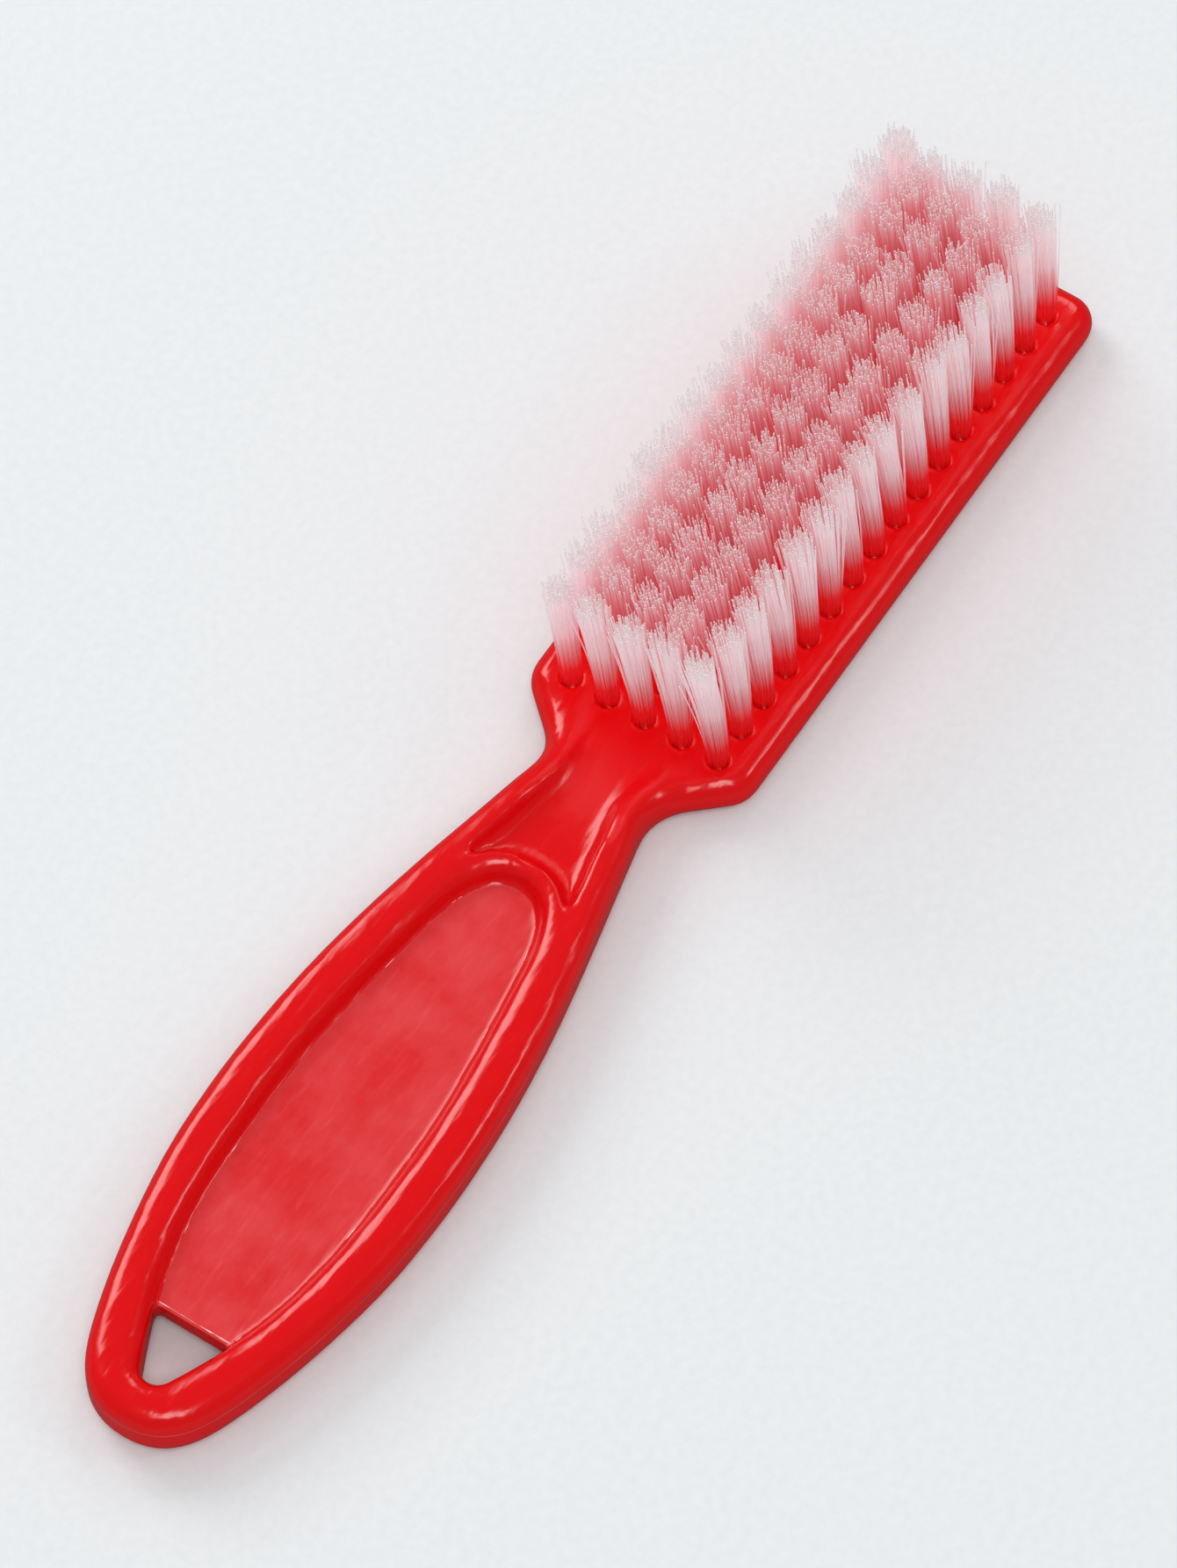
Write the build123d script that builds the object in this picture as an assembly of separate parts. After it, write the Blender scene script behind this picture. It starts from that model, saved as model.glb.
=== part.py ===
"""Neck duster brush: a one-piece moulded back, eighty nylon tufts and the eighty metal
anchors that staple them into blind drilled holes.

The brush lies on its back with the bristles up. +X runs from the hanging end of the handle
to the far end of the head, +Y to the left when looking that way, +Z out of the bristle face.
The origin is under the middle of the brush, on the plane that its back rests on.
All lengths are millimetres.
"""

import os
from math import cos, radians, sin, tan

from build123d import *

# Handle: an oval grip with a raised rim, a thin recessed panel and a hanging hole.
HANDLE_LENGTH = 90.4        # tail tip to the waist, where the handle is narrowest
HANDLE_WIDTH = 29.0         # across the widest place
HANDLE_THICKNESS = 7.2
WIDEST_FROM_TAIL = 41.0
TAIL_SHOULDER = 8.4         # from the tail tip to the end of its blunt nose
TAIL_SHOULDER_WIDTH = 18.3
TAIL_FULLNESS = 1.4         # how far the tail's curve holds its direction at each end
TAIL_FLANK = 23.4           # from the tail tip to the middle of its flank
TAIL_FLANK_WIDTH = 26.0
TAPER_FROM_WAIST = 25.0     # where the straight taper towards the waist begins
TAPER_WIDTH = 24.5
TAPER_ANGLE = 11.5
WAIST_WIDTH = 14.4
RIM_WIDTH = 5.9             # from the outside of the handle to the panel
TAIL_RIM_WIDTH = 5.3        # the same at the tail tip
PANEL_THICKNESS = 2.4
PANEL_END_FROM_WAIST = 14.1
PANEL_NOSE_LENGTH = 3.0     # length of the panel's rounded head end
PANEL_NOSE_WIDTH = 8.6
HANG_EDGE_FROM_TAIL = 13.5  # straight edge of the panel beside the hanging hole
HANG_EDGE_WIDTH = 9.8
HANG_NOSE_RADIUS = 1.9      # of the hanging hole's rounded point
HANG_SIDE_ANGLE = 26.0      # of the hole's straight sides, from the length of the brush
RIM_INNER_ROUND = 2.2       # on the rim's inner edges

# Neck: two ridges run from the rim to the head's shoulders, with a valley between them.
NECK_BLEND_RADIUS = 6.8
SHOULDER_ANGLE = 48.0       # of the slanted shoulders, from the length of the brush
SHOULDER_RADIUS = 4.2
RIDGE_WIDTH = 3.2
CRESCENT_WIDTH = 2.4        # ridge between the panel and the valley
GROOVE_REACH = 2.8          # how far the valley's corners reach back beside the panel
VALLEY_COVE_RADIUS = 2.0    # along the foot of the valley's sides
SLOPE_START_FROM_WAIST = -5.0   # where the ridges begin to drop towards the plate
SLOPE_END_FROM_WAIST = 9.0

# Head: a flat plate with rounded edges, drilled in a square grid.
PLATE_THICKNESS = 4.9
PLATE_EDGE_MARGIN = 4.85    # centre of the outer holes to the side of the plate
PLATE_END_MARGIN = 5.05     # centre of the last holes to the far end
NECK_ROW_FROM_WAIST = 11.0
CORNER_RADIUS = 3.4
EDGE_ROUND = 2.3            # on all outer edges of the moulding, where the plate is thick enough
LAND = 0.3                  # upright band left between two rounded edges

# Tufts and holes.
CROSS_ROWS = 16
TUFTS_PER_ROW = 5
ROW_PITCH = 4.624
TUFT_PITCH = 4.8
HOLE_DIAMETER = 2.4
HOLE_DEPTH = 3.6
TUFT_CLEARANCE = 0.05       # round the root of a tuft in its hole
TUFT_LENGTH = 23.0          # above the plate
TUFT_TIP_DIAMETER = 3.2
TIP_SET = -2.7              # the bristles have taken a set, so their tips stand nearer to the handle

# Anchors: flat metal pieces that bite into both sides of the hole.
ANCHOR_THICKNESS = 0.35
ANCHOR_HEIGHT = 1.7
ANCHOR_BITE = 0.4           # beyond the hole, each side
ANCHOR_FLOOR_GAP = 0.5      # the folded filaments under the anchor
ANCHOR_ANGLE = 45.0         # turned between the rows, so that no wall splits

SAME_PLACE = 0.01           # places nearer than this are the same

overall_length = HANDLE_LENGTH + NECK_ROW_FROM_WAIST + (CROSS_ROWS - 1) * ROW_PITCH + PLATE_END_MARGIN
head_width = (TUFTS_PER_ROW - 1) * TUFT_PITCH + 2 * PLATE_EDGE_MARGIN
tail_x = -overall_length / 2
head_x = overall_length / 2
waist_x = tail_x + HANDLE_LENGTH
panel_end_x = waist_x - PANEL_END_FROM_WAIST
hang_edge_x = tail_x + HANG_EDGE_FROM_TAIL
hole_floor_z = PLATE_THICKNESS - HOLE_DEPTH
anchor_width = HOLE_DIAMETER + 2 * ANCHOR_BITE
anchor_low_z = hole_floor_z + ANCHOR_FLOOR_GAP
edge_round = min(EDGE_ROUND, (min(PLATE_THICKNESS, HANDLE_THICKNESS) - LAND) / 2)
tuft_places = [
    [
        (waist_x + NECK_ROW_FROM_WAIST + row * ROW_PITCH, (tuft - (TUFTS_PER_ROW - 1) / 2) * TUFT_PITCH)
        for tuft in range(TUFTS_PER_ROW)
    ]
    for row in range(CROSS_ROWS)
]


def both_sides(half):
    """A face from the left half of an outline, given as edges that start and end on the X axis."""
    return make_face(half + [edge.mirror(Plane.XZ) for edge in half])


def waist_point(angle, inset=0):
    """A point on the neck's hollow side, at an angle round it from the waist."""
    reach = NECK_BLEND_RADIUS + inset
    return (
        waist_x + reach * sin(radians(angle)),
        WAIST_WIDTH / 2 + NECK_BLEND_RADIUS - reach * cos(radians(angle)),
    )


def back_outline():
    """Plan of the whole moulding."""
    widest = (tail_x + WIDEST_FROM_TAIL, HANDLE_WIDTH / 2)
    tail = Spline(
        (tail_x, 0),
        (tail_x + TAIL_SHOULDER, TAIL_SHOULDER_WIDTH / 2),
        (tail_x + TAIL_FLANK, TAIL_FLANK_WIDTH / 2),
        widest,
        tangents=[(0, 1), (1, 0)],
        tangent_scalars=(TAIL_FULLNESS, TAIL_FULLNESS),
    )
    taper = Spline(
        widest,
        (waist_x - TAPER_FROM_WAIST, TAPER_WIDTH / 2),
        waist_point(-TAPER_ANGLE),
        tangents=[(1, 0), (cos(radians(TAPER_ANGLE)), -sin(radians(TAPER_ANGLE)))],
    )
    blend_end = waist_point(SHOULDER_ANGLE)
    blend = ThreePointArc(waist_point(-TAPER_ANGLE), waist_point(0), blend_end)
    corner_y = head_width / 2
    corner_x = blend_end[0] + (corner_y - blend_end[1]) / tan(radians(SHOULDER_ANGLE))
    head = FilletPolyline(
        blend_end,
        (corner_x, corner_y),
        (head_x, corner_y),
        (head_x, 0),
        radius=(SHOULDER_RADIUS, CORNER_RADIUS),
    )
    return both_sides([tail, taper, blend, *head.edges()])


def rim_inside():
    """Plan of the opening inside the rim: the panel and the hanging hole together."""
    widest = (tail_x + WIDEST_FROM_TAIL, HANDLE_WIDTH / 2 - RIM_WIDTH)
    nose_x = tail_x + TAIL_RIM_WIDTH + HANG_NOSE_RADIUS
    side_angle = radians(HANG_SIDE_ANGLE)
    nose_end = (nose_x - HANG_NOSE_RADIUS * sin(side_angle), HANG_NOSE_RADIUS * cos(side_angle))
    nose_middle = (
        nose_x - HANG_NOSE_RADIUS * cos(side_angle / 2), HANG_NOSE_RADIUS * sin(side_angle / 2)
    )
    nose = ThreePointArc((tail_x + TAIL_RIM_WIDTH, 0), nose_middle, nose_end)
    hole_side = Spline(
        nose_end,
        (hang_edge_x, HANG_EDGE_WIDTH / 2),
        widest,
        tangents=[(cos(side_angle), sin(side_angle)), (1, 0)],
    )
    panel_side = Spline(
        widest,
        (waist_x - TAPER_FROM_WAIST, TAPER_WIDTH / 2 - RIM_WIDTH),
        (panel_end_x - PANEL_NOSE_LENGTH, PANEL_NOSE_WIDTH / 2),
        (panel_end_x, 0),
        tangents=[(1, 0), (0, -1)],
    )
    return both_sides([nose, hole_side, panel_side])


def slab(face, low, high):
    """A plan face made solid between two heights."""
    return extrude(Pos(0, 0, low) * face, amount=high - low)


def slope_cutter():
    """What lies above the moulding: level over the handle, then down an S curve to the plate."""
    start_x = waist_x + SLOPE_START_FROM_WAIST
    end_x = waist_x + SLOPE_END_FROM_WAIST
    far_x = head_x + PLATE_END_MARGIN
    top_z = 2 * HANDLE_THICKNESS
    slope = Spline(
        (start_x, 0, HANDLE_THICKNESS), (end_x, 0, PLATE_THICKNESS), tangents=[(1, 0, 0), (1, 0, 0)]
    )
    rest = Polyline(
        (end_x, 0, PLATE_THICKNESS),
        (far_x, 0, PLATE_THICKNESS),
        (far_x, 0, top_z),
        (start_x, 0, top_z),
        (start_x, 0, HANDLE_THICKNESS),
    )
    return extrude(make_face([slope, *rest.edges()]), amount=HANDLE_WIDTH, both=True)


def brush_blank():
    """The moulding's outer form: one outline, sloped at the neck, with every outer edge rounded."""
    solid = slab(back_outline(), 0, HANDLE_THICKNESS) - slope_cutter()
    kept_sharp = solid.edges().filter_by(Axis.Z) + solid.edges().filter_by(
        lambda edge: abs(edge.center().Y) < edge_round and edge.center().X < head_x - edge_round
    )
    return fillet([edge for edge in solid.edges() if edge not in kept_sharp], edge_round)


def valley():
    """The hollow between the two ridges of the neck, from the crescent to the plate."""
    back_x = panel_end_x - GROOVE_REACH
    start = waist_point(-TAPER_ANGLE, RIDGE_WIDTH)
    corner = (back_x, start[1] + (start[0] - back_x) * tan(radians(TAPER_ANGLE)))
    end = waist_point(SHOULDER_ANGLE, RIDGE_WIDTH)
    far_y = head_width / 2
    far_x = end[0] + (far_y - end[1]) / tan(radians(SHOULDER_ANGLE))
    side = [
        Line(corner, start),
        ThreePointArc(start, waist_point(0, RIDGE_WIDTH), end),
        Polyline(end, (far_x, far_y), (far_x, 0)),
    ]
    crescent = ThreePointArc(
        (corner[0], -corner[1]), (panel_end_x + CRESCENT_WIDTH, 0), corner
    )
    edges = [edge for piece in side for edge in piece.edges()]
    plan = make_face([crescent] + edges + [edge.mirror(Plane.XZ) for edge in edges])
    hollow = slab(plan, PLATE_THICKNESS, HANDLE_THICKNESS + VALLEY_COVE_RADIUS)
    return fillet(hollow.faces().sort_by(Axis.Z)[0].edges(), VALLEY_COVE_RADIUS)


def edges_over(solid, plan_edges, heights):
    """The solid's edges that lie straight over the given plan edges, at one of the heights."""
    found = []
    for edge in solid.edges():
        centre = edge.center()
        over = any(
            abs(centre.X - plan.center().X) + abs(centre.Y - plan.center().Y) < SAME_PLACE
            for plan in plan_edges
        )
        if over and min(abs(centre.Z - height) for height in heights) < SAME_PLACE:
            found.append(edge)
    return found


def brush_moulding():
    """The moulding before it is drilled: rim, panel, hanging hole, neck and plate."""
    inside = rim_inside()
    rim = brush_blank() - slab(inside, -edge_round, HANDLE_THICKNESS + edge_round)
    rim = fillet(edges_over(rim, inside.edges(), (0, HANDLE_THICKNESS)), RIM_INNER_ROUND)
    panel_low = (HANDLE_THICKNESS - PANEL_THICKNESS) / 2
    panel = slab(inside, panel_low, panel_low + PANEL_THICKNESS)
    kept = Pos(hang_edge_x, 0, 0) * Box(
        HANDLE_LENGTH, HANDLE_WIDTH, 2 * HANDLE_THICKNESS, align=(Align.MIN, Align.CENTER, Align.CENTER)
    )
    return rim - valley() + (panel & kept)


def anchor_blank(x, y):
    """One flat anchor, upright across its hole and turned between the rows."""
    return Pos(x, y, anchor_low_z) * Rot(0, 0, ANCHOR_ANGLE) * Box(
        anchor_width, ANCHOR_THICKNESS, ANCHOR_HEIGHT, align=(Align.CENTER, Align.CENTER, Align.MIN)
    )


def hole(x, y):
    """One blind hole, open at the face of the plate."""
    return Pos(x, y, hole_floor_z) * Cylinder(
        HOLE_DIAMETER / 2, HOLE_DEPTH, align=(Align.CENTER, Align.CENTER, Align.MIN)
    )


def brush_body():
    """The moulding with its blind holes, and the cuts that the anchors' ends make beside them."""
    cuts = [tool(x, y) for row in tuft_places for x, y in row for tool in (hole, anchor_blank)]
    return brush_moulding() - cuts


def tuft(x, y):
    """One tuft as a plain closed shape: a root folded round its anchor, flaring and leaning to the tips."""
    root_radius = HOLE_DIAMETER / 2 - TUFT_CLEARANCE
    stand = (Align.CENTER, Align.CENTER, Align.MIN)
    root = Pos(x, y, hole_floor_z) * Cylinder(root_radius, HOLE_DEPTH, align=stand)
    mouth = Pos(x, y, PLATE_THICKNESS) * Circle(root_radius)
    tips = Pos(x + TIP_SET, y, PLATE_THICKNESS + TUFT_LENGTH) * Circle(TUFT_TIP_DIAMETER / 2)
    return root + loft([mouth, tips]) - anchor_blank(x, y)


def write_node(name, shapes):
    """Each shape stays a separate solid inside its node."""
    export_step(Compound(children=[Solid(shape.solid().wrapped) for shape in shapes]), f"parts/{name}.step")


os.makedirs("parts", exist_ok=True)
write_node("brush_body", [brush_body()])
for row, places in enumerate(tuft_places, start=1):
    write_node(f"tuft_row_{row:02d}", [tuft(x, y) for x, y in places])
    write_node(f"anchor_row_{row:02d}", [anchor_blank(x, y) for x, y in places])
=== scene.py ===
# %% [markdown]
# # A neck duster brush
#
# This lesson finishes a small salon brush. Its measured parts come ready made: a one-piece red
# back, sixteen rows of tufts and the metal anchors that hold them. Here they get their looks:
# a soft moulded surface, thousands of single nylon filaments, and glossy plastic.
#
# The brush lies on its back. X runs from the hanging end of the handle to the far end of the
# head, Y to the left, Z up out of the bristles. Blender works in metres, so `MM` turns the
# millimetres of the workshop into Blender's units.

import math

import bpy
import numpy as np
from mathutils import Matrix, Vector


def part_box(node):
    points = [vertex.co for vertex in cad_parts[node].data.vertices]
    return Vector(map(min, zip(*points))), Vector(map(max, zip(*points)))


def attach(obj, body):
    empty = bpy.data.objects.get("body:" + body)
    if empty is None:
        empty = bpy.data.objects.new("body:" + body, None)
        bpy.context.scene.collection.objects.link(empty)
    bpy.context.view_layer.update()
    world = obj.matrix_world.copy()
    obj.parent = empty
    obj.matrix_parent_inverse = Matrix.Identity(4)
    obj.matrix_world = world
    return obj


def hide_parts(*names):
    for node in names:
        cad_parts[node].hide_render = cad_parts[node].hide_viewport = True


MM = 0.001
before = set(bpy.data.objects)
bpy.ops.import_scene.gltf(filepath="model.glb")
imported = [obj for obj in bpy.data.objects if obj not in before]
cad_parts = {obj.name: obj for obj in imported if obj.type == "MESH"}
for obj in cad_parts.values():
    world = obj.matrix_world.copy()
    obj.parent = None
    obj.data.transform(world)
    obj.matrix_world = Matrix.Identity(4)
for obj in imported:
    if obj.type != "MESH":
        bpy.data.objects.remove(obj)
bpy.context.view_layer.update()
body_low, body_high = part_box("brush_body")
tuft_rows = sorted(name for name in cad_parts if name.startswith("tuft_row_"))
anchor_rows = sorted(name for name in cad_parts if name.startswith("anchor_row_"))
print("parts:", len(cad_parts), "brush is", round((body_high.x - body_low.x) / MM, 1), "mm long")

# %% [markdown]
# ## Camera
#
# A long lens from a few steps away keeps the brush free of strong perspective, which is how small
# goods are usually shown. The camera is placed by four plain facts: the point it looks at, how far
# away it stands, how high it looks down from, and how far it has walked round the brush.

# %% Camera
CAMERA_DISTANCE = 793 * MM
CAMERA_ELEVATION = math.radians(60.3)
CAMERA_AZIMUTH = math.radians(-57.1)
CAMERA_LENS = 166.3
AIM_FROM_TAIL = Vector((91.0, 0.65, 4.9)) * MM
CAMERA_AIM = Vector((body_low.x, 0, body_low.z)) + AIM_FROM_TAIL


def add_camera():
    """A camera that looks at the middle of the brush from above the tail's right-hand side."""
    camera_data = bpy.data.cameras.new("camera")
    camera_data.lens = CAMERA_LENS
    camera = bpy.data.objects.new("camera", camera_data)
    back = Vector(
        (
            math.sin(CAMERA_AZIMUTH) * math.cos(CAMERA_ELEVATION),
            -math.cos(CAMERA_AZIMUTH) * math.cos(CAMERA_ELEVATION),
            math.sin(CAMERA_ELEVATION),
        )
    )
    camera.location = CAMERA_AIM + back * CAMERA_DISTANCE
    camera.rotation_euler = back.to_track_quat("Z", "Y").to_euler()
    bpy.context.scene.collection.objects.link(camera)
    bpy.context.scene.camera = camera


add_camera()
print("camera stands", round(CAMERA_DISTANCE, 3), "m away")

# %% [markdown]
# ## Helpers for meshes and materials
#
# Most pieces below are built from arrays of points and faces. A short helper turns such arrays
# into an object, another starts a material with its Principled shader, and two more add nodes
# and colour ramps, so that each material below reads as a short recipe.

# %% Helpers
def add_mesh(name, points, faces):
    """A smooth-shaded object from arrays of points and faces."""
    mesh = bpy.data.meshes.new(name)
    mesh.from_pydata([tuple(p) for p in points], [], [tuple(f) for f in faces])
    mesh.polygons.foreach_set("use_smooth", [True] * len(mesh.polygons))
    mesh.update()
    piece = bpy.data.objects.new(name, mesh)
    bpy.context.scene.collection.objects.link(piece)
    return piece


def new_material(name, **settings):
    """A material, its node tree and its Principled shader, with constants set on its own sockets."""
    material = bpy.data.materials.new(name)
    material.use_nodes = True
    tree = material.node_tree
    shader = tree.nodes["Principled BSDF"]
    for socket, value in settings.items():
        shader.inputs[socket.replace("_", " ")].default_value = value
    return material, tree, shader


def add_node(tree, kind, **settings):
    """A node with its settings; a socket is set through a name that starts with in_."""
    node = tree.nodes.new(kind)
    for key, value in settings.items():
        if key.startswith("in_"):
            node.inputs[key[3:].replace("_", " ")].default_value = value
        else:
            setattr(node, key, value)
    return node


def add_ramp(tree, stops):
    """A colour ramp node from a list of position and colour."""
    node = add_node(tree, "ShaderNodeValToRGB")
    ramp = node.color_ramp
    while len(ramp.elements) < len(stops):
        ramp.elements.new(0.5)
    for element, (position, colour) in zip(ramp.elements, stops):
        element.position = position
        element.color = (*colour, 1)
    return node


print("helpers ready")

# %% [markdown]
# ## One speckle for several finishes
#
# Paper, cut nylon and drawn wire all vary a little from spot to spot, and the painted sheen on the
# panel lies in soft clouds. Each could have its own noise and its own mix of two colours, but then
# a change has to be made many times.
# So the speckle is one node group with named inputs, and each material sets its own grain and
# colours. Below `Low` the noise gives the first colour, above `High` the second.

# %% Speckle group
SPECKLE_INPUTS = (
    ("Scale", "NodeSocketFloat"),
    ("Detail", "NodeSocketFloat"),
    ("Roughness", "NodeSocketFloat"),
    ("Low", "NodeSocketFloat"),
    ("High", "NodeSocketFloat"),
    ("First Colour", "NodeSocketColor"),
    ("Second Colour", "NodeSocketColor"),
)


def make_speckle_group():
    """A node group that mixes two colours by noise, and also gives out the mix as an amount."""
    group = bpy.data.node_groups.new("two_colour_speckle", "ShaderNodeTree")
    for name, kind in SPECKLE_INPUTS:
        group.interface.new_socket(name, in_out="INPUT", socket_type=kind)
    group.interface.new_socket("Colour", in_out="OUTPUT", socket_type="NodeSocketColor")
    group.interface.new_socket("Amount", in_out="OUTPUT", socket_type="NodeSocketFloat")
    given = add_node(group, "NodeGroupInput")
    result = add_node(group, "NodeGroupOutput")
    place = add_node(group, "ShaderNodeTexCoord")
    noise = add_node(group, "ShaderNodeTexNoise")
    amount = add_node(group, "ShaderNodeMapRange")
    colour = add_node(group, "ShaderNodeMix", data_type="RGBA")
    group.links.new(place.outputs["Object"], noise.inputs["Vector"])
    for name in ("Scale", "Detail", "Roughness"):
        group.links.new(given.outputs[name], noise.inputs[name])
    group.links.new(noise.outputs["Fac"], amount.inputs["Value"])
    group.links.new(given.outputs["Low"], amount.inputs["From Min"])
    group.links.new(given.outputs["High"], amount.inputs["From Max"])
    group.links.new(amount.outputs["Result"], colour.inputs[0])
    group.links.new(given.outputs["First Colour"], colour.inputs[6])
    group.links.new(given.outputs["Second Colour"], colour.inputs[7])
    group.links.new(colour.outputs[2], result.inputs["Colour"])
    group.links.new(amount.outputs["Result"], result.inputs["Amount"])
    return group


def add_speckle(tree, grain, colours, between=(0.35, 0.65), detail=2.0, roughness=0.5):
    """The speckle in a material, with its own grain, its two colours and the noise they lie between."""
    return add_node(
        tree,
        "ShaderNodeGroup",
        node_tree=speckle_group,
        in_Scale=grain,
        in_Detail=detail,
        in_Roughness=roughness,
        in_Low=between[0],
        in_High=between[1],
        in_First_Colour=(*colours[0], 1),
        in_Second_Colour=(*colours[1], 1),
    )


speckle_group = make_speckle_group()
print("speckle inputs:", [name for name, _ in SPECKLE_INPUTS])

# %% [markdown]
# ## Floor
#
# The brush lies on a plain pale floor, wide enough that its edge never shows. A very fine, faint
# speckle keeps it from looking like a painted screen. In mirrors it looks dark, so that the
# brush's glossy sides keep their deep colour.

# %% Floor
FLOOR_SIZE = 3.0
PAPER_GRAIN = 900.0
PAPER_COLOURS = ((0.765, 0.785, 0.79), (0.80, 0.815, 0.82))
MIRRORED_FLOOR = (0.14, 0.11, 0.11, 1)


def add_floor():
    """A wide square of fine pale paper under the brush."""
    material, tree, shader = new_material("pale_floor", Roughness=0.9)
    shade = add_speckle(tree, PAPER_GRAIN, PAPER_COLOURS, (0.3, 0.7), detail=3.0)
    ray = add_node(tree, "ShaderNodeLightPath")
    dim = add_node(tree, "ShaderNodeMix", data_type="RGBA")
    dim.inputs[7].default_value = MIRRORED_FLOOR
    tree.links.new(ray.outputs["Is Glossy Ray"], dim.inputs[0])
    tree.links.new(shade.outputs["Colour"], dim.inputs[6])
    tree.links.new(dim.outputs[2], shader.inputs["Base Color"])
    half = FLOOR_SIZE / 2
    corners = [(-half, -half, 0), (half, -half, 0), (half, half, 0), (-half, half, 0)]
    floor = add_mesh("floor", corners, [(0, 1, 2, 3)])
    floor.data.materials.append(material)


add_floor()
print("floor laid under the brush,", FLOOR_SIZE, "m wide")

# %% [markdown]
# ## Light
#
# Glossy plastic shows its surroundings, so a studio is built from what should and shouldn't be
# seen in it. One soft panel hangs overhead and reaches down between the tufts. Others stand to
# the left, to the right and beyond the head, and draw long highlights on the rim and the ridges.
# The walls give soft light from everywhere, but look dark when they are mirrored, as black
# cloth beside the lamps would, so that the red stays deep. Bristles are many clear layers, so
# light may pass through many of them before it is given up.

# %% Light
WALL_LIGHT = 0.58
MIRRORED_WALL_LIGHT = 0.06
WALL_COLOUR = (0.95, 0.975, 1.0, 1)
CLEAR_LAYERS = 64
PANELS = (
    ("left_panel", (0.25, 0.85, 0.62), 1.1, 0.50, 4.0),
    ("top_panel", (-0.36, -0.24, 0.9), 1.3, 0.50, 4.8),
    ("right_panel", (0.42, -0.62, 0.67), 1.2, 0.22, 0.8),
    ("head_panel", (0.75, 0.2, 0.75), 1.2, 0.30, 0.9),
)


def add_panel_light(name, toward, distance, size, power):
    """A square soft light that shines at the brush from the direction given."""
    light_data = bpy.data.lights.new(name, "AREA")
    light_data.shape = "SQUARE"
    light_data.size = size
    light_data.energy = power
    light = bpy.data.objects.new(name, light_data)
    direction = Vector(toward).normalized()
    light.location = direction * distance
    light.rotation_euler = direction.to_track_quat("Z", "Y").to_euler()
    bpy.context.scene.collection.objects.link(light)


def add_studio_walls():
    """Soft light from all round, which mirrors as nearly dark."""
    world = bpy.data.worlds.new("studio")
    bpy.context.scene.world = world
    world.use_nodes = True
    tree = world.node_tree
    seen = tree.nodes["Background"]
    seen.inputs["Color"].default_value = WALL_COLOUR
    seen.inputs["Strength"].default_value = WALL_LIGHT
    mirrored = add_node(tree, "ShaderNodeBackground", in_Color=WALL_COLOUR)
    mirrored.inputs["Strength"].default_value = MIRRORED_WALL_LIGHT
    ray = add_node(tree, "ShaderNodeLightPath")
    choose = add_node(tree, "ShaderNodeMixShader")
    tree.links.new(ray.outputs["Is Glossy Ray"], choose.inputs[0])
    tree.links.new(seen.outputs[0], choose.inputs[1])
    tree.links.new(mirrored.outputs[0], choose.inputs[2])
    tree.links.new(choose.outputs[0], tree.nodes["World Output"].inputs["Surface"])


for panel in PANELS:
    add_panel_light(*panel)
add_studio_walls()
bpy.context.scene.view_settings.view_transform = "Standard"
bpy.context.scene.cycles.transparent_max_bounces = CLEAR_LAYERS
print("soft panels:", [panel[0] for panel in PANELS])

# %% [markdown]
# ## The moulded back
#
# The real back is one injection moulding. Its steel mould was polished, so no edge on it is
# truly sharp: the crests of the neck's ridges run into each other like folds in soft clay.
# The measured part has those crests as crisp lines. A voxel remesh gives the surface an even
# skin of small squares, and a few rounds of averaging each point with its neighbours melt the
# crests, more in the neck than elsewhere. Bevels could do it too, but they would need a clean
# edge loop along every crest, which a boolean shape like this one does not have.

# %% An even skin
VOXEL = 0.40 * MM


def remeshed(source, voxel):
    """A voxel skin of the source's mesh, as a new mesh."""
    stand_in = bpy.data.objects.new("stand_in", source.data.copy())
    bpy.context.scene.collection.objects.link(stand_in)
    remesh = stand_in.modifiers.new("even_skin", "REMESH")
    remesh.mode = "VOXEL"
    remesh.voxel_size = voxel
    remesh.use_smooth_shade = True
    seen = stand_in.evaluated_get(bpy.context.evaluated_depsgraph_get())
    mesh = bpy.data.meshes.new_from_object(seen)
    bpy.data.objects.remove(stand_in)
    return mesh


def point_array(mesh):
    """A mesh's points as rows of x, y and z."""
    points = np.zeros(len(mesh.vertices) * 3)
    mesh.vertices.foreach_get("co", points)
    return points.reshape(-1, 3)


skin = remeshed(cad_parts["brush_body"], VOXEL)
print("skin:", len(skin.vertices), "points,", len(skin.polygons), "faces")

# %% Where the holes are
TUFTS_PER_ROW = 5
PLATE_THICKNESS = 4.9 * MM


def tuft_grid():
    """The root of every tuft, row by row: the anchors sit in the middle of the holes."""
    places = []
    for name in anchor_rows:
        low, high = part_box(name)
        half_anchor = (high.x - low.x) / 2
        ends = np.linspace(low.y + half_anchor, high.y - half_anchor, TUFTS_PER_ROW)
        places.append([((low.x + high.x) / 2, y) for y in ends])
    return places


row_places = tuft_grid()
first_root_x = row_places[0][0][0]
last_root_x = row_places[-1][0][0]
right_root_y = row_places[0][0][1]
left_root_y = row_places[0][-1][1]
plate_top = body_low.z + PLATE_THICKNESS
print("holes:", len(row_places) * TUFTS_PER_ROW)

# %% Melt the crests
ALL_ROUNDS = 2
NECK_ROUNDS = 22
NECK_FROM_FIRST_ROW = 11 * MM
NECK_REACH = 15 * MM
BACK_HEIGHT = 3 * MM
HOLE_MARGIN = 2 * MM


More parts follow.
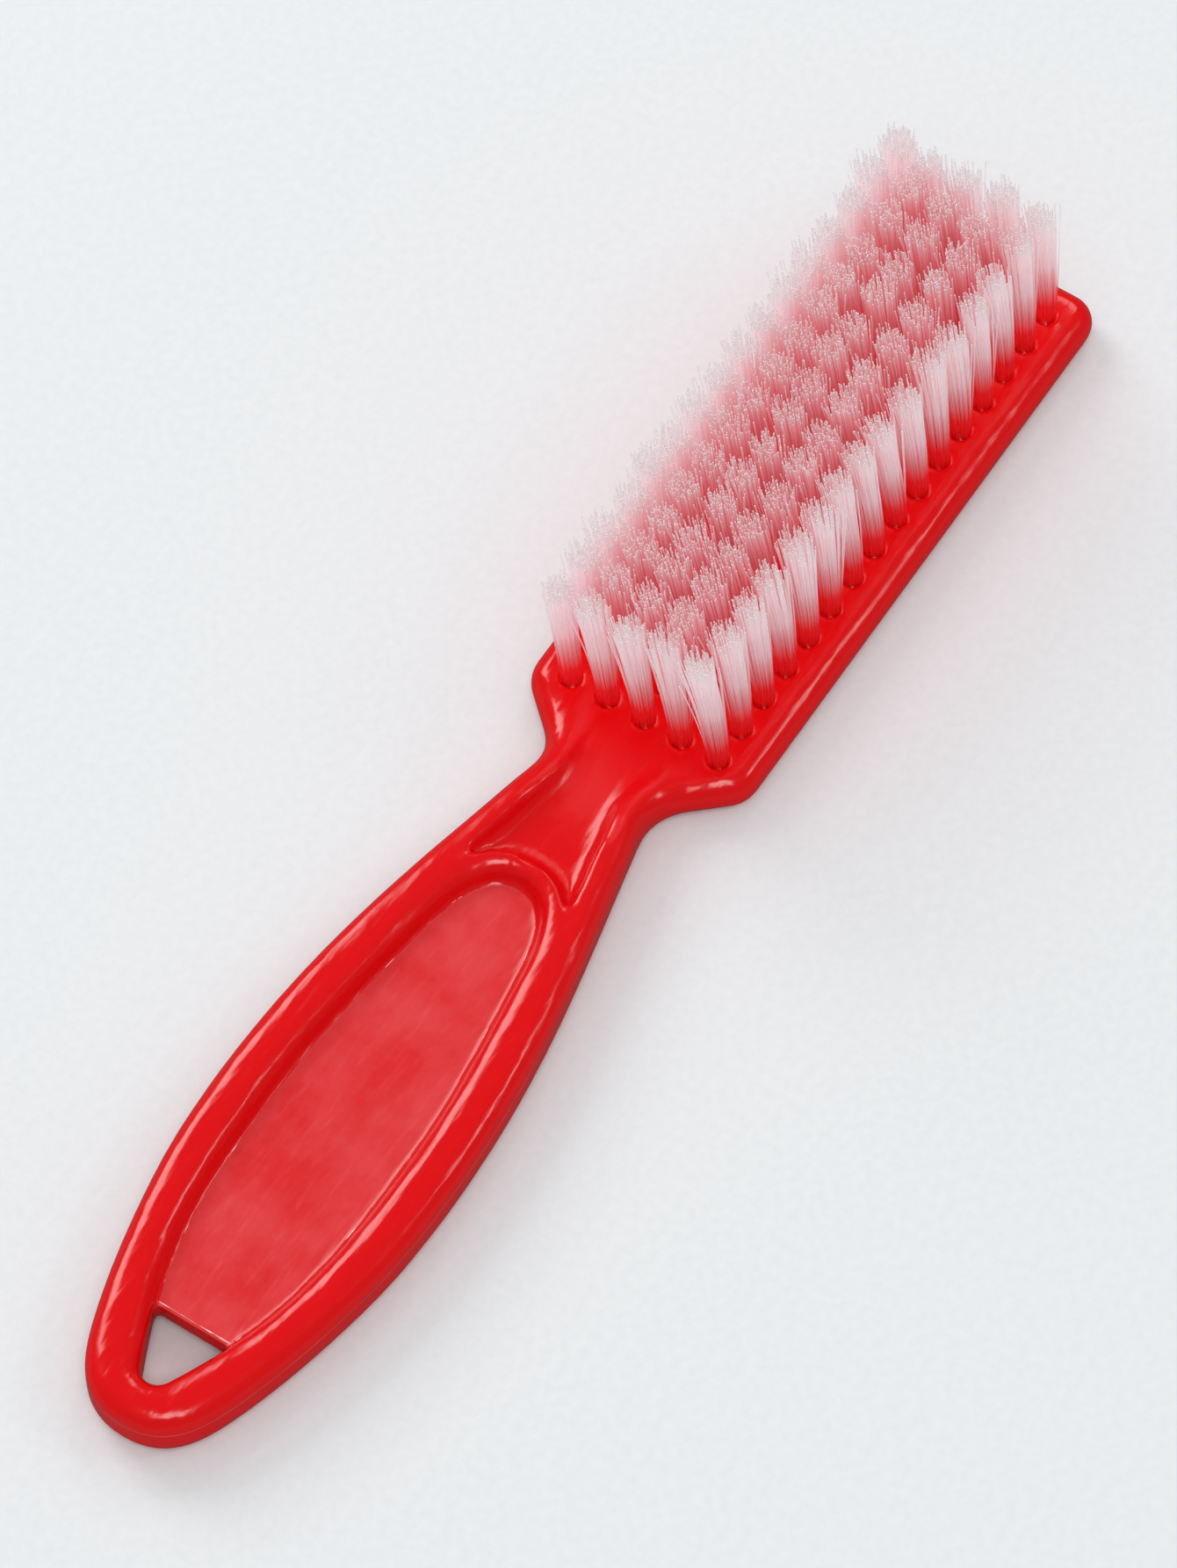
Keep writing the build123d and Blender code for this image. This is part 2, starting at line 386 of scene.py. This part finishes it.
def melt(mesh, weights, rounds):
    """Moves every point part of the way to the middle of its neighbours, again and again."""
    points = point_array(mesh)
    edges = np.zeros(len(mesh.edges) * 2, int)
    mesh.edges.foreach_get("vertices", edges)
    a, b = edges.reshape(-1, 2).T
    count = len(points)
    degree = np.bincount(a, minlength=count) + np.bincount(b, minlength=count)
    for _ in range(rounds):
        for axis in range(3):
            along = points[:, axis]
            total = np.bincount(a, along[b], count) + np.bincount(b, along[a], count)
            points[:, axis] += weights * 0.5 * (total / degree - along)
    mesh.vertices.foreach_set("co", points.ravel())
    mesh.update()


def neck_weights(mesh):
    """How strongly each point is melted: fully in the neck, fading towards the panel and the holes."""
    points = point_array(mesh)
    neck_x = first_root_x - NECK_FROM_FIRST_ROW
    near = np.clip(1 - np.abs(points[:, 0] - neck_x) / NECK_REACH, 0, 1)
    above = np.clip((points[:, 2] - BACK_HEIGHT) / MM, 0, 1)
    clear_of_holes = points[:, 0] < first_root_x - HOLE_MARGIN
    return np.sqrt(near) * above * clear_of_holes


melt(skin, np.ones(len(skin.vertices)), ALL_ROUNDS)
melt(skin, neck_weights(skin), NECK_ROUNDS)
moulding = bpy.data.objects.new("moulded_back", skin)
bpy.context.scene.collection.objects.link(moulding)
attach(moulding, "root")
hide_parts("brush_body")
print("melted rounds:", ALL_ROUNDS, "everywhere,", NECK_ROUNDS, "in the neck")

# %% [markdown]
# ## Red plastic
#
# The finish is polished polystyrene with the pigment moulded in: deep red with a clear gloss.
# Two things keep it from looking like paint. The surface is a little wavy where it shrank as it
# cooled, so long highlights break up. And the thin panel in the handle is painted paler red, in
# soft clouds: a painted sheen that stands in for its soft gloss and for the light that comes
# through the thin plastic. Both come from noise in the plastic's own coordinates.

# %% Red plastic
DEEP_RED = (0.75, 0.0010, 0.0028)
# painted sheen: the panel's paler reds stand in for its soft gloss and the light through the thin
# plastic
PAINTED_SHEEN_REDS = ((0.73, 0.012, 0.015), (0.76, 0.042, 0.046))
PANEL_TOP = body_low.z + 4.8 * MM
PANEL_TOLERANCE = 0.12 * MM
HANDLE_FROM_FIRST_ROW = 25 * MM
SHEEN_CLOUD_GRAIN = 120.0
RIM_ROUGHNESS = 0.20
PANEL_ROUGHNESS = 0.34
WAVE_STRETCH = (0.3, 1, 1)
WIDE_WAVE = (420.0, 2.0, 0.30 * MM)
FINE_WAVE = (1500.0, 3.0, 0.022 * MM)


def add_waves(tree, place, shader):
    """Two sizes of shallow waves, drawn out along the brush, for the gloss to run over."""
    drawn = add_node(tree, "ShaderNodeMapping")
    drawn.inputs["Scale"].default_value = WAVE_STRETCH
    tree.links.new(place.outputs["Object"], drawn.inputs["Vector"])
    before = None
    for grain, detail, height in (WIDE_WAVE, FINE_WAVE):
        noise = add_node(tree, "ShaderNodeTexNoise", in_Scale=grain, in_Detail=detail)
        bump = add_node(tree, "ShaderNodeBump", in_Distance=height)
        tree.links.new(drawn.outputs["Vector"], noise.inputs["Vector"])
        tree.links.new(noise.outputs["Fac"], bump.inputs["Height"])
        if before is not None:
            tree.links.new(before.outputs["Normal"], bump.inputs["Normal"])
        before = bump
    tree.links.new(before.outputs["Normal"], shader.inputs["Normal"])


def panel_mask(tree, place):
    """One on the top face of the handle's thin panel, nought elsewhere."""
    apart = add_node(tree, "ShaderNodeSeparateXYZ")
    tree.links.new(place.outputs["Object"], apart.inputs[0])
    level = add_node(tree, "ShaderNodeMath", operation="COMPARE")
    level.inputs[1].default_value = PANEL_TOP
    level.inputs[2].default_value = PANEL_TOLERANCE
    handle = add_node(tree, "ShaderNodeMath", operation="LESS_THAN")
    handle.inputs[1].default_value = first_root_x - HANDLE_FROM_FIRST_ROW
    panel = add_node(tree, "ShaderNodeMath", operation="MULTIPLY")
    tree.links.new(apart.outputs["Z"], level.inputs[0])
    tree.links.new(apart.outputs["X"], handle.inputs[0])
    tree.links.new(level.outputs[0], panel.inputs[0])
    tree.links.new(handle.outputs[0], panel.inputs[1])
    return panel


def red_plastic():
    """Glossy red plastic, softer in gloss on the thin panel, which also gets a painted sheen of paler
    red clouds.
    """
    material, tree, shader = new_material("glossy_red_plastic", IOR=1.46, Coat_Weight=0.2)
    shader.inputs["Coat Roughness"].default_value = 0.05
    place = add_node(tree, "ShaderNodeTexCoord")
    panel = panel_mask(tree, place)
    # painted sheen on the panel, in pale red clouds
    thin = add_speckle(tree, SHEEN_CLOUD_GRAIN, PAINTED_SHEEN_REDS, (0.38, 0.62), detail=4.0, roughness=0.6)
    colour = add_node(tree, "ShaderNodeMix", data_type="RGBA")
    colour.inputs[6].default_value = (*DEEP_RED, 1)
    tree.links.new(panel.outputs[0], colour.inputs[0])
    tree.links.new(thin.outputs["Colour"], colour.inputs[7])
    tree.links.new(colour.outputs[2], shader.inputs["Base Color"])
    gloss = add_node(tree, "ShaderNodeMapRange", in_To_Min=RIM_ROUGHNESS, in_To_Max=PANEL_ROUGHNESS)
    tree.links.new(panel.outputs[0], gloss.inputs["Value"])
    tree.links.new(gloss.outputs["Result"], shader.inputs["Roughness"])
    add_waves(tree, place, shader)
    return material


plastic = red_plastic()
moulding.data.materials.clear()
moulding.data.materials.append(plastic)
print("finish:", plastic.name)

# %% [markdown]
# ## The tufts
#
# Each tuft is a bundle of nylon filaments, folded in half and stapled into its hole by a flat
# metal anchor. They leave the hole packed tight, spread a little towards their cut ends, and have
# taken a set towards the handle. Hair particles would be quick to comb, but they are not a mesh
# that can be carried to other programs, so every filament is built as its own thin tube: a line
# of points from root to tip, with a small ring of corners round each point. One loop makes the
# lines, and numpy turns all the lines of a row into one mesh.

# %% One tuft's lines
FILAMENTS = 120
STATIONS = 7
ROOT_DEPTH = 0.3 * MM
ROOT_SPREAD = 1.27 * MM
TIP_SPREAD = 1.92 * MM
SIDE_SET = 1.0 * MM
STRAY_SHARE = 0.12
STRAY_REACH = (0.2, 1.3)
UNEVEN_REACH = 0.10
UNEVEN_END = 0.20 * MM
UNEVEN_CUT = 0.38 * MM
BEND_POWER = (1.1, 1.5)
GOLDEN_TURN = math.pi * (3 - math.sqrt(5))
rng = np.random.default_rng(11)


def tuft_lines(root, tip, flare):
    """The middle lines of one tuft's filaments: an array of filament, station and coordinate."""
    count = np.arange(FILAMENTS)
    out = np.sqrt((count + 0.5) / FILAMENTS)
    turn = count * GOLDEN_TURN + rng.uniform(0, 2 * math.pi)
    ring = np.stack([np.cos(turn), np.sin(turn)], axis=1) * out[:, None]
    stray = rng.random(FILAMENTS) < STRAY_SHARE
    reach = TIP_SPREAD * flare * (1 + UNEVEN_REACH * rng.standard_normal(FILAMENTS))
    reach = reach + stray * rng.uniform(*STRAY_REACH, FILAMENTS) * MM
    start = np.array(root[:2]) + ring * ROOT_SPREAD
    end = np.array(tip[:2]) + ring * reach[:, None]
    end = end + UNEVEN_END * rng.standard_normal((FILAMENTS, 2))
    top = tip[2] + UNEVEN_CUT * rng.standard_normal(FILAMENTS)
    share = np.linspace(0, 1, STATIONS)
    bend = share ** rng.uniform(*BEND_POWER, FILAMENTS)[:, None]
    lines = np.zeros((FILAMENTS, STATIONS, 3))
    lines[:, :, :2] = start[:, None] + (end - start)[:, None] * bend[:, :, None]
    lines[:, :, 2] = root[2] + (top - root[2])[:, None] * share
    return lines


print("one tuft:", FILAMENTS, "filaments of", STATIONS, "stations")

# %% One row's lines
UNEVEN_TIP = np.array([0.28, 0.22, 0.18]) * MM
UNEVEN_FLARE = 0.06
LEFT_SET_LOSS = 0.9
CUT_BELOW_TOP = 0.3 * MM


def row_lines(number):
    """All the lines of one row, placed by the row's anchors and its measured block."""
    low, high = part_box(tuft_rows[number])
    tip_radius = high.y - row_places[number][-1][1]
    tip_x = low.x + tip_radius
    lines = []
    for x, y in row_places[number]:
        side = SIDE_SET * (1 - LEFT_SET_LOSS * max(y, 0) / row_places[number][-1][1])
        root = (x, y, plate_top - ROOT_DEPTH)
        nudge = rng.standard_normal(3) * UNEVEN_TIP
        tip = (tip_x + nudge[0], y + side + nudge[1], high.z - CUT_BELOW_TOP + nudge[2])
        lines.append(tuft_lines(root, tip, 1 + UNEVEN_FLARE * rng.standard_normal()))
    return np.concatenate(lines)


print("one row:", FILAMENTS * TUFTS_PER_ROW, "filaments")

# %% Tubes round the lines
FILAMENT_RADIUS = 0.08 * MM
SIDES = 5


def tubes(lines, radii, sides):
    """Closed tubes round many lines: points, faces, and which faces are cut ends."""
    number, stations, _ = lines.shape
    angle = np.arange(sides) * 2 * math.pi / sides
    ring = np.stack([np.cos(angle), np.sin(angle), 0 * angle], axis=1)
    points = (lines[:, :, None, :] + ring[None, None] * radii[:, :, None, None]).reshape(-1, 3)
    step = np.arange(sides)
    after = (step + 1) % sides
    start = (np.arange(number) * stations * sides)[:, None, None]
    low = start + (np.arange(stations - 1) * sides)[None, :, None]
    corners = [low + step, low + after, low + sides + after, low + sides + step]
    quads = np.stack(corners, axis=-1).reshape(-1, 4)
    top = start[:, 0] + (stations - 1) * sides + step
    bottom = start[:, 0] + step[::-1]
    faces = quads.tolist() + top.tolist() + bottom.tolist()
    is_end = np.zeros(len(faces), int)
    is_end[len(quads) : len(quads) + number] = 1
    return points, faces, is_end


print("one filament:", SIDES, "sides,", round(2 * FILAMENT_RADIUS / MM, 2), "mm thick")

# %% [markdown]
# ## Nylon
#
# Nylon filament is clear, but thousands of them together look milky, because every surface
# sends a little light back. Near the roots, and deep in the block, the light has come off the
# red back, so the bristles blush from red to pink to white. True refraction in every filament
# could make this, but it needs many more light paths. So a filament here is a mix: part surface,
# part glow, part plain see-through, with a faint shadow. The blush is painted by height and by
# depth in the block. It isn't worked out from the light.

# %% How light passes a filament
GLOW_SHARE = 0.55
SEEN_THROUGH = 0.5
LIT_THROUGH = 0.985


def let_light_through(tree, shader, colour):
    """Makes a filament glow with the light behind it, seen through in part, and cast a weak shadow."""
    behind = add_node(tree, "ShaderNodeBsdfTranslucent")
    tree.links.new(colour, behind.inputs["Color"])
    lit = add_node(tree, "ShaderNodeMixShader")
    lit.inputs[0].default_value = GLOW_SHARE
    tree.links.new(shader.outputs[0], lit.inputs[1])
    tree.links.new(behind.outputs[0], lit.inputs[2])
    ray = add_node(tree, "ShaderNodeLightPath")
    open_share = add_node(tree, "ShaderNodeMapRange")
    open_share.inputs["To Min"].default_value = SEEN_THROUGH
    open_share.inputs["To Max"].default_value = LIT_THROUGH
    tree.links.new(ray.outputs["Is Shadow Ray"], open_share.inputs["Value"])
    clear = add_node(tree, "ShaderNodeBsdfTransparent")
    both = add_node(tree, "ShaderNodeMixShader")
    tree.links.new(open_share.outputs["Result"], both.inputs[0])
    tree.links.new(lit.outputs[0], both.inputs[1])
    tree.links.new(clear.outputs[0], both.inputs[2])
    tree.links.new(both.outputs[0], tree.nodes["Material Output"].inputs["Surface"])


print("a filament lets", LIT_THROUGH, "of the light through each wall")

# %% Nylon colours
FILAMENT_IOR = 1.53
# painted light: red from the back near the roots and deep in the block, fading to the nylon's milky
# white
OUTER_PAINTED_BLUSH = (
    (0.0, (0.98, 0.015, 0.022)),
    (0.16, (0.93, 0.060, 0.075)),
    (0.32, (0.90, 0.48, 0.51)),
    (0.52, (0.93, 0.80, 0.82)),
    (1.0, (0.96, 0.91, 0.92)),
)
INNER_PAINTED_BLUSH = (
    (0.0, (0.98, 0.015, 0.022)),
    (0.35, (0.86, 0.150, 0.180)),
    (0.70, (0.87, 0.36, 0.40)),
    (0.92, (0.92, 0.62, 0.65)),
    (1.0, (0.97, 0.80, 0.81)),
)
BLOCK_SKIN = 0.2 * MM
BLOCK_DEPTH = 3.2 * MM
CUT_END_GRAIN = 2500.0
# painted glow: the ends' pale colours stand in for the light that travels up the filament
PAINTED_END_GLOW_COLOURS = ((0.86, 0.66, 0.66), (1.0, 0.93, 0.93))


def upright_x(tree, apart, height, lean):
    """The X place of a filament's root, from any point of the leaning filament."""
    upright = add_node(tree, "ShaderNodeMath", operation="MULTIPLY_ADD")
    upright.inputs[1].default_value = lean
    tree.links.new(height.outputs["Result"], upright.inputs[0])
    tree.links.new(apart.outputs["X"], upright.inputs[2])
    return upright.outputs[0]


def depth_in_block(tree, root_x, root_y):
    """Nought at the outer tufts and one deep in the block: the least depth from its four sides."""
    sides = (
        (root_x, first_root_x, 1),
        (root_x, last_root_x, -1),
        (root_y, right_root_y, 1),
        (root_y, left_root_y, -1),
    )
    least = None
    for value, edge, inward in sides:
        into = add_node(tree, "ShaderNodeMapRange", interpolation_type="SMOOTHSTEP")
        into.inputs["From Min"].default_value = edge - inward * BLOCK_SKIN
        into.inputs["From Max"].default_value = edge + inward * BLOCK_DEPTH
        tree.links.new(value, into.inputs["Value"])
        if least is None:
            least = into.outputs["Result"]
            continue
        smaller = add_node(tree, "ShaderNodeMath", operation="MINIMUM")
        tree.links.new(least, smaller.inputs[0])
        tree.links.new(into.outputs["Result"], smaller.inputs[1])
        least = smaller.outputs[0]
    return least


def nylon_filament():
    """Filament colour: painted red light from the back at the root and deep in the block, milky at the
    ends.
    """
    material, tree, shader = new_material("nylon_filament", Roughness=0.3, IOR=FILAMENT_IOR)
    low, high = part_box(tuft_rows[0])
    tip_x = low.x + high.y - left_root_y
    place = add_node(tree, "ShaderNodeTexCoord")
    apart = add_node(tree, "ShaderNodeSeparateXYZ")
    height = add_node(tree, "ShaderNodeMapRange", in_From_Min=plate_top, in_From_Max=high.z)
    tree.links.new(place.outputs["Object"], apart.inputs[0])
    tree.links.new(apart.outputs["Z"], height.inputs["Value"])
    root_x = upright_x(tree, apart, height, first_root_x - tip_x)
    deep = depth_in_block(tree, root_x, apart.outputs["Y"])
    colour = add_node(tree, "ShaderNodeMix", data_type="RGBA")
    tree.links.new(deep, colour.inputs[0])
    for stops, socket in ((OUTER_PAINTED_BLUSH, 6), (INNER_PAINTED_BLUSH, 7)):
        ramp = add_ramp(tree, stops)
        tree.links.new(height.outputs["Result"], ramp.inputs["Fac"])
        tree.links.new(ramp.outputs["Color"], colour.inputs[socket])
    tree.links.new(colour.outputs[2], shader.inputs["Base Color"])
    let_light_through(tree, shader, colour.outputs[2])
    return material


def nylon_end():
    """The cut ends, painted pale: a painted glow for the light that travels up the filament."""
    material, tree, shader = new_material("nylon_cut_end", Roughness=0.25, IOR=FILAMENT_IOR)
    shade = add_speckle(tree, CUT_END_GRAIN, PAINTED_END_GLOW_COLOURS)
    tree.links.new(shade.outputs["Colour"], shader.inputs["Base Color"])
    return material


filament_finish = nylon_filament()
end_finish = nylon_end()
print("finishes:", filament_finish.name, "and", end_finish.name)

# %% Build the rows
for number, node in enumerate(tuft_rows):
    lines = row_lines(number)
    radii = np.full(lines.shape[:2], FILAMENT_RADIUS)
    points, faces, is_end = tubes(lines, radii, SIDES)
    row = add_mesh(node.replace("tuft_row", "bristles"), points, faces)
    row.data.materials.append(filament_finish)
    row.data.materials.append(end_finish)
    row.data.polygons.foreach_set("material_index", is_end)
    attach(row, "root")
    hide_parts(node)
print("rows:", len(tuft_rows), "filaments:", FILAMENTS * TUFTS_PER_ROW * len(tuft_rows))

# %% [markdown]
# ## Flash line
#
# Where the two halves of the mould meet round the panel, a hair of plastic has crept into the
# gap. It stands up as a thin broken line that catches the light, and its red is painted pale pink
# in spots: painted glints. It follows the border of the panel's top face, which is read from the
# measured part: every edge that has this flat face on one side only. A curve object with a round
# bevel could draw it too. Rings of points are used here, so that it is a plain mesh like the
# filaments.

# %% The panel's border
LEVEL_TOLERANCE = 0.02 * MM
FACING_UP = 0.999


def panel_border(body, level):
    """The points round the flat face at a height, in order."""
    mesh = body.data
    flat = set()
    for face in mesh.polygons:
        if face.normal.z > FACING_UP and abs(face.center.z - level) < LEVEL_TOLERANCE:
            flat.add(face.index)
    uses = {}
    for index in flat:
        for key in mesh.polygons[index].edge_keys:
            uses[key] = uses.get(key, 0) + 1
    after = {}
    for (a, b), count in uses.items():
        if count == 1:
            after.setdefault(a, []).append(b)
            after.setdefault(b, []).append(a)
    start = min(after, key=lambda index: mesh.vertices[index].co.x)
    loop, last = [start], None
    while True:
        nearby = [index for index in after[loop[-1]] if index != last]
        last = loop[-1]
        if not nearby or nearby[0] == start:
            return np.array([mesh.vertices[index].co[:] for index in loop])
        loop.append(nearby[0])


border = panel_border(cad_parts["brush_body"], PANEL_TOP)
print("panel border:", len(border), "points", border.min(axis=0).round(4), border.max(axis=0).round(4))

# %% The flash as a tube
FLASH_RADIUS = 0.13 * MM
FLASH_INSET = 0.35 * MM
FLASH_LIFT = 0.05 * MM
FLASH_STEP = 0.35 * MM
FLASH_SIDES = 6
FLASH_GRAIN = 700.0
FLASH_QUICK_WAVE = 0.9
FLASH_SLOW_WAVE = 0.23
FLASH_MIDDLE = 0.45
FLASH_SWING = 0.55
FLASH_LEAST = 0.12
# painted highlight: the flash is painted pale pink in spots, for the glints along it
FLASH_PAINTED_GLINT_COLOURS = ((0.88, 0.20, 0.20), (1.0, 0.72, 0.72))


def flash_thickness(steps):
    """How thick the flash is along its way: two waves that cross, never quite nothing."""
    waves = np.sin(steps / MM * FLASH_QUICK_WAVE) * np.sin(steps / MM * FLASH_SLOW_WAVE + 1)
    return FLASH_RADIUS * np.clip(FLASH_MIDDLE + FLASH_SWING * waves, FLASH_LEAST, 1)


def ring_faces(rings, sides):
    """The faces of a tube whose last ring joins its first."""
    faces = []
    for here in range(rings):
        there = (here + 1) % rings
        for corner in range(sides):
            after = (corner + 1) % sides
            low, high = here * sides, there * sides
            faces.append((low + corner, low + after, high + after, high + corner))
    return faces


def flash_line():
    """The broken line of flash round the panel: a closed tube whose thickness comes and goes."""
    closed = np.vstack([border, border[:1]])
    edge = np.diff(closed, axis=0)
    along = np.concatenate([[0], np.cumsum(np.linalg.norm(edge, axis=1))])
    steps = np.arange(0, along[-1], FLASH_STEP)
    line = np.stack([np.interp(steps, along, closed[:, axis]) for axis in range(3)], axis=1)
    line[:, 2] += FLASH_LIFT
    radii = flash_thickness(steps)
    ahead = np.roll(line, -1, axis=0) - np.roll(line, 1, axis=0)
    side = np.stack([-ahead[:, 1], ahead[:, 0], 0 * ahead[:, 0]], axis=1)
    side /= np.linalg.norm(side, axis=1)[:, None]
    to_middle = np.sum((line.mean(axis=0) - line) * side, axis=1)
    line += side * np.sign(to_middle)[:, None] * FLASH_INSET
    angle = np.arange(FLASH_SIDES) * 2 * math.pi / FLASH_SIDES
    up = np.array([0, 0, 1.0])
    ring = side[:, None] * np.cos(angle)[None, :, None] + up * np.sin(angle)[None, :, None]
    points = (line[:, None] + ring * radii[:, None, None]).reshape(-1, 3)
    return add_mesh("panel_flash_line", points, ring_faces(len(line), FLASH_SIDES))


flash = flash_line()
# the flash's red is painted pale pink in spots: painted glints
flash_finish, flash_tree, flash_shader = new_material("thin_red_flash", Roughness=0.3, IOR=1.5)
flash_glints = add_speckle(flash_tree, FLASH_GRAIN, FLASH_PAINTED_GLINT_COLOURS, (0.35, 0.55))
flash_tree.links.new(flash_glints.outputs["Colour"], flash_shader.inputs["Base Color"])
flash.data.materials.append(flash_finish)
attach(flash, "root")
print("flash line:", len(flash.data.polygons), "faces")

# %% [markdown]
# ## Anchors
#
# Each tuft is held by a short piece of flat metal, pressed into the bottom of its hole so that
# its ends bite into the plastic. They are out of sight in a whole brush. Their measured shape is
# all they need, so only a metal finish is added, a little uneven from spot to spot.

# %% Anchors
WIRE_GRAIN = 3000.0
WIRE_ROUGHNESS = (0.25, 0.45)
WIRE_COLOURS = ((0.62, 0.60, 0.56), (0.78, 0.76, 0.72))


def anchor_metal():
    """Flat drawn wire: bright metal, a little duller in spots."""
    material, tree, shader = new_material("anchor_metal", Metallic=1.0)
    shade = add_speckle(tree, WIRE_GRAIN, WIRE_COLOURS, (0.3, 0.7))
    rough = add_node(tree, "ShaderNodeMapRange")
    rough.inputs["To Min"].default_value = WIRE_ROUGHNESS[0]
    rough.inputs["To Max"].default_value = WIRE_ROUGHNESS[1]
    tree.links.new(shade.outputs["Amount"], rough.inputs["Value"])
    tree.links.new(shade.outputs["Colour"], shader.inputs["Base Color"])
    tree.links.new(rough.outputs["Result"], shader.inputs["Roughness"])
    return material


metal = anchor_metal()
for name in anchor_rows:
    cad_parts[name].data.materials.clear()
    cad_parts[name].data.materials.append(metal)
print("anchors:", len(anchor_rows) * TUFTS_PER_ROW)
